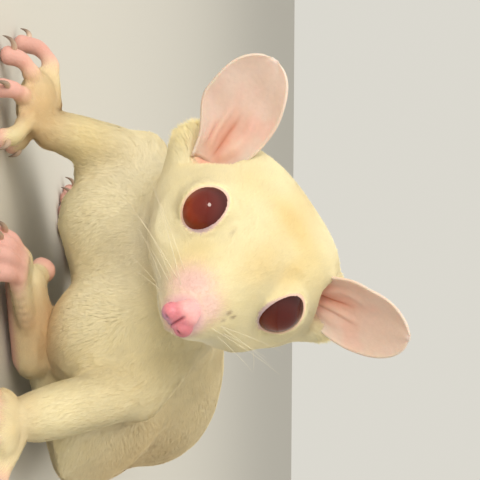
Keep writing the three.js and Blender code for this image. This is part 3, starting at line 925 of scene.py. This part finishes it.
# Nose pad: two wings beside a cleft, each with a comma-shaped nostril opening to the side
noseSizes = {
    "middle": -0.75,  # mm, to the animal's right of the head's middle plane
    "balls": [
        # place from the middle, radii
        ((0, -25.0, -3.6), (2.5, 1.9, 2.5)),
        ((0, -25.5, -5.4), (0.9, 1.3, 1.2)),
        ((0, -24.3, -2.2), (1.9, 1.4, 1.5)),
        ((-1.6, -25.3, -4.8), (1.65, 1.75, 1.7)),
        ((1.6, -25.3, -4.8), (1.65, 1.75, 1.7)),
    ],
    "voxel": 0.2,
    "cleftDepth": 0.55,
    "cleftWidth": 0.2,
    "nostril": [(0.3, -27.2, -5.1), (1.3, -27.0, -5.4), (2.4, -26.3, -4.9), (3.0, -25.3, -4.1)],
    "nostrilDepth": 0.6,
    "nostrilWidth": 0.24,
    "pink": "#D9848F",
    "mauve": "#A888A2",  # below, most on the right wing
    "leftWing": "#B4686C",
    "top": "#EBB2B0",
    # painted shade for the cleft and the nostrils, mauve in the right nostril
    "paintedRecessShade": "#7C2E3C",  # in the cleft and the nostrils
    "paintedRecessShadeMauve": "#A07488",  # in the right nostril
}
noseMiddle = np.array([noseSizes["middle"], 0, 0])
bm = bmesh.new()
for place, radii in noseSizes["balls"]:
    addBall(bm, fromHead(place + noseMiddle), radii, headTurn, 3)
nose = remesh(newObject("nose_pad", bm), noseSizes["voxel"])
edges = edgePairs(nose.data)
places = relax(readPlaces(nose.data), edges, 8)
writePlaces(nose.data, places)
normals = readNormals(nose.data)
inHead = toHead(places) - noseMiddle
x, y, z = inHead.T
cleft = bell(x, noseSizes["cleftWidth"]) * ease(-24.6, -25.4, y) * ease(-2.4, -3.4, z)
nostril = np.zeros(len(places))
for side in (-1, 1):
    comma = curveThrough(np.array(noseSizes["nostril"]) * (side, 1, 1), 24)
    for place, width in zip(comma, noseSizes["nostrilWidth"] * np.linspace(1.15, 0.6, 24)):
        nostril = np.maximum(nostril, bell(sizeOf(inHead - place), width))
sunk = cleft * noseSizes["cleftDepth"] + nostril * noseSizes["nostrilDepth"]
writePlaces(nose.data, relax(places - normals * sunk[:, None], edges, 1))
rightHalf = ease(0.4, -0.4, x)
tint = towards(noseSizes["pink"], noseSizes["mauve"], ease(-4.4, -6.2, z) * mix(0.4, 0.95, rightHalf))
tint = towards(tint, noseSizes["leftWing"], 0.55 * ease(0.95, 2.35, x))
tint = towards(tint, noseSizes["top"], 0.85 * ease(-3.6, -1.8, z))
# painted shade: the cleft and the nostrils are darkened where shade falls in them
paintedRecessShade = towards(noseSizes["paintedRecessShade"], noseSizes["paintedRecessShadeMauve"], rightHalf * (nostril > cleft))
tint = towards(tint, paintedRecessShade, np.maximum(cleft * 0.6, np.minimum(nostril * 1.2, 1) * 0.75))
addAttribute(nose.data, "tint", tint)
finishPiece(nose, noseMaterial, "nose", "nose")


# A thin curved leaf, folded and ridged near its base, with a rolled edge
def buildEar(name, shape):
    base, axis, facing, across = earFrame(shape)
    bm = bmesh.new()
    bmesh.ops.create_grid(bm, x_segments=56, y_segments=72, size=1)
    grid = np.array([v.co[:] for v in bm.verts])
    s, i = grid[:, 0], grid[:, 1] * 0.5 + 0.5
    t = np.sin(math.pi / 2 * i**0.9)
    near = 0.62 + 0.38 * np.sin(math.pi / 2 * t / ears["widest"])
    beyond = np.clip((t - ears["widest"]) / (1 - ears["widest"]), 0, 1)
    half = ears["width"] / 2 * np.maximum(np.where(t < ears["widest"], near, np.sqrt(1 - beyond**2.3)), 0.1)
    # the outer edge draws in near the base, where fur hides it
    half = half * (1 - shape["drawnIn"] * (1 - ease(0.12, 0.5, t)) * ease(0, 1, -s * shape["inwards"]))
    curl = mix(1.35, 0.4, t**0.45)
    radius = half / np.sin(curl)
    dish = 4.2 * (t - 0.42) ** 2
    # a lobe, a deep crease and a few low folds rise from the base and fade half way up
    flat = np.stack([s * 7, t * 18, t * 0], axis=1)  # the leaf laid out, in mm
    turned = s * shape["inwards"] + 0.05 * ripple(flat, 6, 22)
    relief = 0
    paintedCreaseShade = 0
    for centre, slope, width, height, start, end in ears["folds"]:
        here = bell(turned - centre - slope * t, width) * ease(start - 0.08, start + 0.06, t)
        here = here * (1 - ease(end - 0.2, end, t))
        relief = relief + height * here
        paintedCreaseShade = paintedCreaseShade + here * (height < 0)
    waves = 0.16 * ripple(flat, 5, 21) * ease(0.25, 0.6, t)
    roll = 0.12 * (np.maximum(np.abs(s) - 0.9, 0) / 0.1) ** 2 * (1 - ease(0.85, 1, t))
    inset = (0.35 + relief + waves + roll) * np.minimum(1, half / 2)
    places = (
        base
        + axis * ((ears["length"] + ears["sunk"]) * t - ears["sunk"])[:, None]
        + across * (np.sin(curl * s) * (radius - inset))[:, None]
        + facing * ((1 - np.cos(curl * s)) * radius + np.cos(curl * s) * inset + dish)[:, None]
    )
    for v, co in zip(bm.verts, metres(fromHead(places))):
        v.co = co
    ear = newObject("ear_" + name + "_leaf", bm)
    # pale skin, salmon deep in the cup, with blotches where blood shows through, a painted highlight on the
    # raised folds and painted shade in the crease
    blotch = ripple(flat, 4.5, 23)
    deep = bell(t - 0.2, 0.3) * bell(turned - 0.1, 0.6) * (0.85 + 0.25 * blotch)
    colour = towards(ears["edge"], ears["deep"], np.clip(deep, 0, 1))
    colour = towards(colour, ears["blotch"], 0.4 * np.clip(blotch, 0, 1) * (1 - ease(0.5, 0.8, t)))
    # painted highlight on the raised folds
    colour = towards(colour, ears["paintedRidgeHighlight"], 0.7 * np.clip(relief - 0.25, 0, 1))
    # painted shade in the crease
    colour = towards(colour, ears["paintedCreaseShade"], 0.6 * np.clip(paintedCreaseShade, 0, 1))
    colour = towards(colour, ears["rim"], 0.25 * ease(0.8, 1.0, np.abs(s)))
    addAttribute(ear.data, "tint", colour)
    wall = ear.modifiers.new("Wall", "SOLIDIFY")
    wall.thickness = ears["thickness"] * mm
    wall.offset = 0
    return ear


for name in ("right", "left"):
    finishPiece(buildEar(name, ears[name]), earMaterial, "ear", "ear_" + name)

# Claws: hooked cones that leave the top of each pad and curve down in front of it
clawSizes = {
    "reach": 3.4,
    "firstFinger": 0.6,  # its claw's share of that
    "hook": [(0.1, 0.75), (0.45, 0.95), (0.8, 0.55), (1.0, -0.25), (1.08, -0.95)],  # ahead, and mm above
    "radii": [0.62, 0.6, 0.55, 0.49, 0.42, 0.34, 0.25, 0.16, 0.05],
    "sides": 10,
    "root": "#D2B7A0",
    "tip": "#7A685B",
}
bm = bmesh.new()
for name, paw in paws.items():
    for i in range(5):
        if i == 0 and "foot" in name:
            continue
        way, ahead, _ = digitWay(paw, i)
        reach = clawSizes["reach"] * (clawSizes["firstFinger"] if i == 0 else 1)
        hook = [way[-1] + (*(ahead * (0.5 + (reach - 0.4) * a)), h) for a, h in clawSizes["hook"]]
        addSweep(bm, curveThrough(hook, len(clawSizes["radii"])), clawSizes["radii"], clawSizes["sides"])
claws = newObject("claws", bm)
share = np.repeat(np.linspace(0, 1, len(clawSizes["radii"])), clawSizes["sides"])
share = np.resize(share, len(claws.data.vertices))
addAttribute(claws.data, "tint", towards(clawSizes["root"], clawSizes["tip"], ease(0.1, 0.8, share)))
finishPiece(claws, clawMaterial, "skin")

# Whiskers: long tapering hairs in rows on the muzzle, and one on each cheek
whiskers = {
    "thickness": 0.042,  # mm, the radius at the root
    "droop": [(0.35, 0.1), (0.7, 0.45), (1, 1)],  # shares of the length and of the drop
    "rows": [
        # root in the head frame, way, length, how many, spread
        ((4.4, -18.5, -3.6), (0.9, 0.45, 0.2), 19, 3, 0.14),
        ((4.8, -17.6, -5.4), (0.9, 0.5, 0.0), 12, 3, 0.16),
        ((4.8, -16.8, -7.0), (0.8, 0.6, -0.3), 8, 2, 0.18),
        ((13.5, -5, -7.5), (0.8, 0.5, -0.4), 6, 1, 0.15),
    ],
}
skinTree = treeOf(skin.data)
bm = bmesh.new()
for root, way, length, count, spread in whiskers["rows"]:
    for flip in np.array([(-1, 1, 1), (1, 1, 1)]):
        for _ in range(count):
            start = np.array(root) + draw.normal(0, 0.9, 3) * (0.6, 1.3, 0.6)
            start = ontoSkin(fromHead([start * flip]))[0]
            heading = unit(headTurn @ (unit(np.array(way) + draw.normal(0, spread, 3)) * flip))
            drop = np.array([0, 0, -1]) * length * draw.uniform(0.04, 0.14)
            long = length * draw.uniform(0.75, 1.1)
            line = [start + heading * long * a + drop * b for a, b in whiskers["droop"]]
            line = curveThrough([start - heading * 0.5, *line], 10)
            addSweep(bm, line, whiskers["thickness"] * np.linspace(1, 0.15, 10), 4)
finishPiece(newObject("whiskers", bm), whiskerMaterial, "coat")
print("eyes, nose, ears, claws and whiskers made")

# Coat: for each place of the skin, the lie, length and closeness of the hair
lie = {
    "nose": (0, -27, -6),  # in the head's frame: on the head, hair runs back from here
    "trunk": (0, 1, -0.6),
    "neck": (0, 0.6, -1),
    "upper_arm_right": (-11.5, -3, -2),
    "upper_arm_left": (10.5, -5, -2),
    "forearm_right": (1.5, -13.5, -12.5),
    "forearm_left": (9.2, -13.5, -15),
    "thigh_right": (-14.5, -18, -4),
    "thigh_left": (13.5, -18.5, -3),
    "shank_right": (-7, 24, -4.5),
    "shank_left": (-11, -24, -4.6),
    "membrane_right": (-0.3, 0.9, -0.4),
    "membrane_left": (0.3, 0.9, -0.4),
    "tail": [
        (-2, 88, 15),
        (-4.5, 98, 10.5),
        (-10, 115, 8.6),
        (-20, 141, 8.8),
        (-33, 166, 8.8),
        (-50, 187, 8.4),
        (-66, 200, 7),
        (-75, 209, 4.4),
    ],
}
faceHair = {
    "length": (0.42, 1.35),  # shares of the head's tuft length and width, from the nose to the nape
    "width": (0.8, 1.05),
    "byEye": 0.45,
    "roundEye": 1.6,  # how firmly the hair parts round the eyes
    "ruff": ((20.5, 8.0, 0.5), (4.5, 4, 5)),  # centre and radii in the head's frame
    "crown": ((13, 9, 11), (2.5, 3, 3)),
    "crownShare": 0.3,
    "ruffLength": 4.2,
    "ruffLean": 1.9,
    "ruffWay": (0.3, -0.7),  # back and up, for one outwards
}
mesh = skin.data
places, normals, edges = readPlaces(mesh), readNormals(mesh), edgePairs(mesh)
inHead = toHead(places)
owner = nearestNode(mesh)
names = np.array(fleshNames)[owner]
depth, length, width, close, lean = (relax(tableValues(owner, c), edges, 20) for c in coatColumns)
flow = np.tile(unit(lie["trunk"]), (len(places), 1))
onHead = names == "head"
flow[onHead] = unit(places[onHead] - fromHead(lie["nose"]))
flow[names == "neck"] = unit(lie["neck"])
for name in fleshNames:
    if name in lie:
        flow[names == name] = unit(lie[name])
    if name in paws:
        flow[names == name] = unit(places[names == name] - paws[name]["root"])
tailWay = curveThrough(lie["tail"], 60)
tailHeading = unit(np.gradient(tailWay, axis=0))
onTail = np.char.startswith(names.astype(str), "tail")
nearest = np.argmin(sizeOf(places[onTail][:, None] - tailWay[None]), axis=1)
flow[onTail] = tailHeading[nearest]
flow = relax(flow, edges, 40)

# Hair is short on the face and shortest by the eyes, and parts round them
back = ease(-25, 12, inHead[:, 1])
eyeNear, rimBare, mauve, below = np.zeros((4, len(places)))
for side in (-1, 1):
    centre, aim, _, upward = eyeFrame(side)
    distance, _, _, angle, beyond = aroundEye(inHead, side)
    beyond = np.where(distance < 9, beyond, 9)
    near = 1 - ease(0.3, 3.2, beyond)
    away = inHead - centre
    away = unit(away - (away @ aim)[:, None] * aim) @ headTurn.T
    flow = flow + away * (near * faceHair["roundEye"])[:, None]
    eyeNear = np.maximum(eyeNear, near)
    # the bare rim is widest, and a little mauve, at the corner towards the nose
    medial = np.maximum(np.cos(angle - math.radians(eyes["slant"])), 0) ** 2
    here = 1 - ease(0.15, 0.45 + 0.6 * medial, beyond)
    mauve = np.maximum(mauve, here * medial)
    rimBare = np.maximum(rimBare, here)
    below = np.maximum(below, here * ease(0.1, 0.8, -(inHead - centre) @ upward / 4))
faceLength = length * mix(*faceHair["length"], back) * mix(1, faceHair["byEye"], eyeNear)
length = np.where(onHead, faceLength, length)
width = np.where(onHead, width * mix(*faceHair["width"], back), width)

# Long loose hair stands out under each ear, and a little at its edge towards the crown
mirrored = np.column_stack([np.abs(inHead[:, 0]), inHead[:, 1:]])
ruff = softBall(mirrored, *faceHair["ruff"]) * onHead
ruff = np.maximum(ruff, faceHair["crownShare"] * softBall(mirrored, *faceHair["crown"]) * onHead)
length = mix(length, faceHair["ruffLength"], ruff)
lean = mix(lean, faceHair["ruffLean"], ruff)
outwards = np.column_stack([np.sign(inHead[:, 0]), np.tile(faceHair["ruffWay"], (len(places), 1))])
flow = flow + unit(outwards) @ headTurn.T * (2.2 * ruff)[:, None]

# Digits are bare beyond the knuckles, and redder at their joints
hairless, joint, hollow = np.zeros((3, len(places)))
for name, paw in paws.items():
    mine = np.flatnonzero(names == name)
    root, palm = np.array(paw["root"]), np.array(paw["palm"])
    far = (places[mine] - root) @ unit(palm - root) / np.linalg.norm(palm - root)
    out = sizeOf((places[mine] - palm)[:, :2] / np.array(paw["spread"]))
    start, end = (0.5, 1.6) if "hand" in name else (1.0, 1.8)
    bareHere = ease(start, end, out) * ease(0.3, 1.0, far)
    hairless[mine] = np.maximum(bareHere, 1 - ease(1.2, 3.4, places[mine, 2]))
    for i in range(5):
        for place in digitWay(paw, i)[0][[10, 17]]:  # the digit's two joints
            joint[mine] = np.maximum(joint[mine], bell(sizeOf(places[mine] - place), 1.7, 4))
    if "foot" in name:
        toe = sizeOf(places[mine] - paw["pads"][0])
        hairless[mine] = np.maximum(hairless[mine], 1 - ease(2.4, 4, toe))
hairless = relax(hairless, edges, 24)
thin = np.max([share * softBall(inHead, centre, radii) for centre, radii, share in thinPlaces], axis=0)
for name in ("right", "left"):
    hollow = np.maximum(hollow, inCup(inHead, ears[name], *ears[name]["bareTo"]))
bare = np.maximum(np.maximum(thin, hairless), hollow)
close = close * (1 - ease(0.1, 0.85, bare)) * (1 - rimBare)
length = length * mix(1, 0.4, bare)
lean = lean * mix(1, 0.3, bare)
close = np.where(sizeOf(inHead - noseMiddle - (0, -26, -5.2)) < 3.4, 0, close)
close = np.where(places[:, 2] < 0.6, 0, close)  # nothing grows where it stands on the floor
print("coat laid out")

# Skin colours: the coat's own markings, and each bare place in its own pink
skinTint = coatColour(places)
for share, colour in (
    (thin, bareSkin["muzzle"]),
    (hairless, towards(bareSkin["digit"], bareSkin["joint"], 0.35 * joint)),
    (hollow, bareSkin["ear"]),
    (0.8 * rimBare, bareSkin["rim"]),
    (0.7 * below, bareSkin["lowerRim"]),
    (0.7 * mauve, bareSkin["corner"]),
):
    skinTint = towards(skinTint, colour, np.clip(share, 0, 1))
addAttribute(mesh, "tint", skinTint)
finishPiece(skin, skinMaterial, "coat", *fleshNames)

# Tufts: flat tapered blades, three triangles each, spread evenly over the skin
tufts = {
    "perPiece": 64000,
    # shares of the table's values, between which each tuft's own are drawn
    "length": (0.8, 1.15),
    "width": (0.8, 1.2),
    "lean": (0.8, 1.12),
    "sunk": 0.04,  # mm, the root under the skin
    "along": (0.5, 0.96),  # where the middle and the tip lie, as shares of the length
    # most tufts arch back down to the coat, so that no underside shows; a few and the ruff's stand out
    "arched": (0.75, 0.15),  # heights of the middle and the tip, as shares of the lean
    "standing": (0.52, 0.95),
    "standingShare": 0.05,
    "patch": 0.003,  # the size of a tuft's patch on the unwrapped skin
}
mesh.calc_loop_triangles()
corners = readValues(mesh.loop_triangles, "vertices", 3, np.int32)
loops = readValues(mesh.loop_triangles, "loops", 3, np.int32)
a, b, c = (places[corners[:, k]] for k in range(3))
area = 0.5 * sizeOf(np.cross(b - a, c - a))
wanted = area * close[corners].mean(axis=1)
total = int(wanted.sum() * (1.0))
print("tufts:", total)
steps = np.cumsum(wanted)
chosen = np.searchsorted(steps, (np.arange(total) + draw.random(total)) * steps[-1] / total)
chosen = np.minimum(chosen, len(wanted) - 1)
r1, r2 = np.sqrt(draw.random(total)), draw.random(total)
share = np.stack([1 - r1, r1 * (1 - r2), r1 * r2], axis=1)


def atRoots(values):
    return np.einsum("ij,ij...->i...", share, values[corners[chosen]])


root = atRoots(places)
up = unit(atRoots(normals))
tuftLength = atRoots(length) * draw.uniform(*tufts["length"], total)
tuftWidth = atRoots(width) * draw.uniform(*tufts["width"], total)
tuftLean = atRoots(lean) * draw.uniform(*tufts["lean"], total)
heading = atRoots(flow)
heading = unit(heading - up * np.einsum("ij,ij->i", heading, up)[:, None])
swing = 0.16 * ripple(root, 7, 31) + 0.07 * ripple(root, 2.6, 32) + draw.normal(0, 0.07, total)
aside = np.cross(up, heading)
heading = heading * np.cos(swing)[:, None] + aside * np.sin(swing)[:, None]
aside = np.cross(up, heading)
rise = np.maximum(atRoots(depth), 0.35) * tuftLean * (1 + 0.1 * ripple(root, 4.2, 33))
stands = np.where(draw.random(total) < tufts["standingShare"] + 0.3 * atRoots(ruff), 1.0, 0.0)
middle, tip = (
    root + heading * (along * tuftLength)[:, None] + up * (mix(arched, standing, stands) * rise)[:, None]
    for along, arched, standing in zip(tufts["along"], tufts["arched"], tufts["standing"])
)
half = aside * (tuftWidth / 2)[:, None]
sunk = root - up * tufts["sunk"]
blade = np.stack([sunk - half, sunk + half, middle - half * 0.8, middle + half * 0.8, tip], axis=1)
blade[:, :, 2] = np.maximum(blade[:, :, 2], 0.05)
facing = unit(up + 0.06 * draw.normal(0, 1, (total, 3)))
tuftTint = towards(coatColour(root), atRoots(skinTint), np.clip(1.3 * atRoots(bare), 0, 1))
tuftTint = tuftTint * draw.normal(1, 0.015, total)[:, None]
tuftAlong = np.tile([0.0, 0.0, 0.55, 0.55, 1.0], (total, 1)) * 0.7 + 0.3 * draw.random(total)[:, None]
print("tufts shaped")

# One unwrap of the skin, where each tuft's patch lies at its root
bpy.context.view_layer.objects.active = skin
skin.select_set(True)
mesh.uv_layers.new(name="Roots")
bpy.ops.object.mode_set(mode="EDIT")
bpy.ops.mesh.select_all(action="SELECT")
bpy.ops.uv.smart_project(angle_limit=math.radians(66), island_margin=0.001)
bpy.ops.object.mode_set(mode="OBJECT")
skin.select_set(False)
mesh = skin.data
unwrapped = readValues(mesh.uv_layers["Roots"].data, "uv", 2)
rootUv = np.einsum("ij,ijk->ik", share, unwrapped[loops[chosen]])
mesh.uv_layers.remove(mesh.uv_layers["Roots"])
print("skin unwrapped")

patch = tufts["patch"] * np.array([(-0.5, 0), (0.5, 0), (-0.4, 0.55), (0.4, 0.55), (0, 1)])
bladeFaces = np.array([(0, 3, 1), (0, 2, 3), (2, 4, 3)])


def tuftPiece(name, picked):
    count = len(picked)
    piece = bpy.data.meshes.new(name)
    faces = (bladeFaces[None] + 5 * np.arange(count)[:, None, None]).reshape(-1, 3)
    piece.vertices.add(5 * count)
    piece.loops.add(9 * count)
    piece.polygons.add(3 * count)
    piece.vertices.foreach_set("co", metres(blade[picked].reshape(-1, 3)).astype(np.float32).ravel())
    piece.loops.foreach_set("vertex_index", faces.astype(np.int32).ravel())
    piece.polygons.foreach_set("loop_start", np.arange(0, 9 * count, 3, dtype=np.int32))
    piece.update(calc_edges=True)
    corner = (rootUv[picked][:, None] + patch[None]).reshape(-1, 2)[faces.ravel()]
    piece.uv_layers.new(name="OFBake").data.foreach_set("uv", corner.astype(np.float32).ravel())
    addAttribute(piece, "tint", np.repeat(tuftTint[picked], 5, axis=0))
    addAttribute(piece, "along", tuftAlong[picked].ravel())
    piece.shade_smooth()
    piece.normals_split_custom_set_from_vertices(np.repeat(facing[picked], 5, axis=0))
    return finishPiece(putInScene(name, piece), coatMaterial, "coat")


groups = {
    "face": ["head"],
    "chest": ["neck", "chest"],
    "back": ["belly", "hips"],
    "tail": ["tail_root", "tail_middle", "tail_tip"],
}
groups["limbs"] = [n for n in fleshNames if n not in sum(groups.values(), [])]
tuftNames = names[corners[chosen][:, 0]]
for label, members in groups.items():
    picked = np.flatnonzero(np.isin(tuftNames, members))
    parts = max(1, math.ceil(len(picked) / tufts["perPiece"]))
    for k, some in enumerate(np.array_split(picked, parts)):
        tuftPiece(f"coat_{label}_{k + 1}", some)
    print("coat on", label, len(picked))
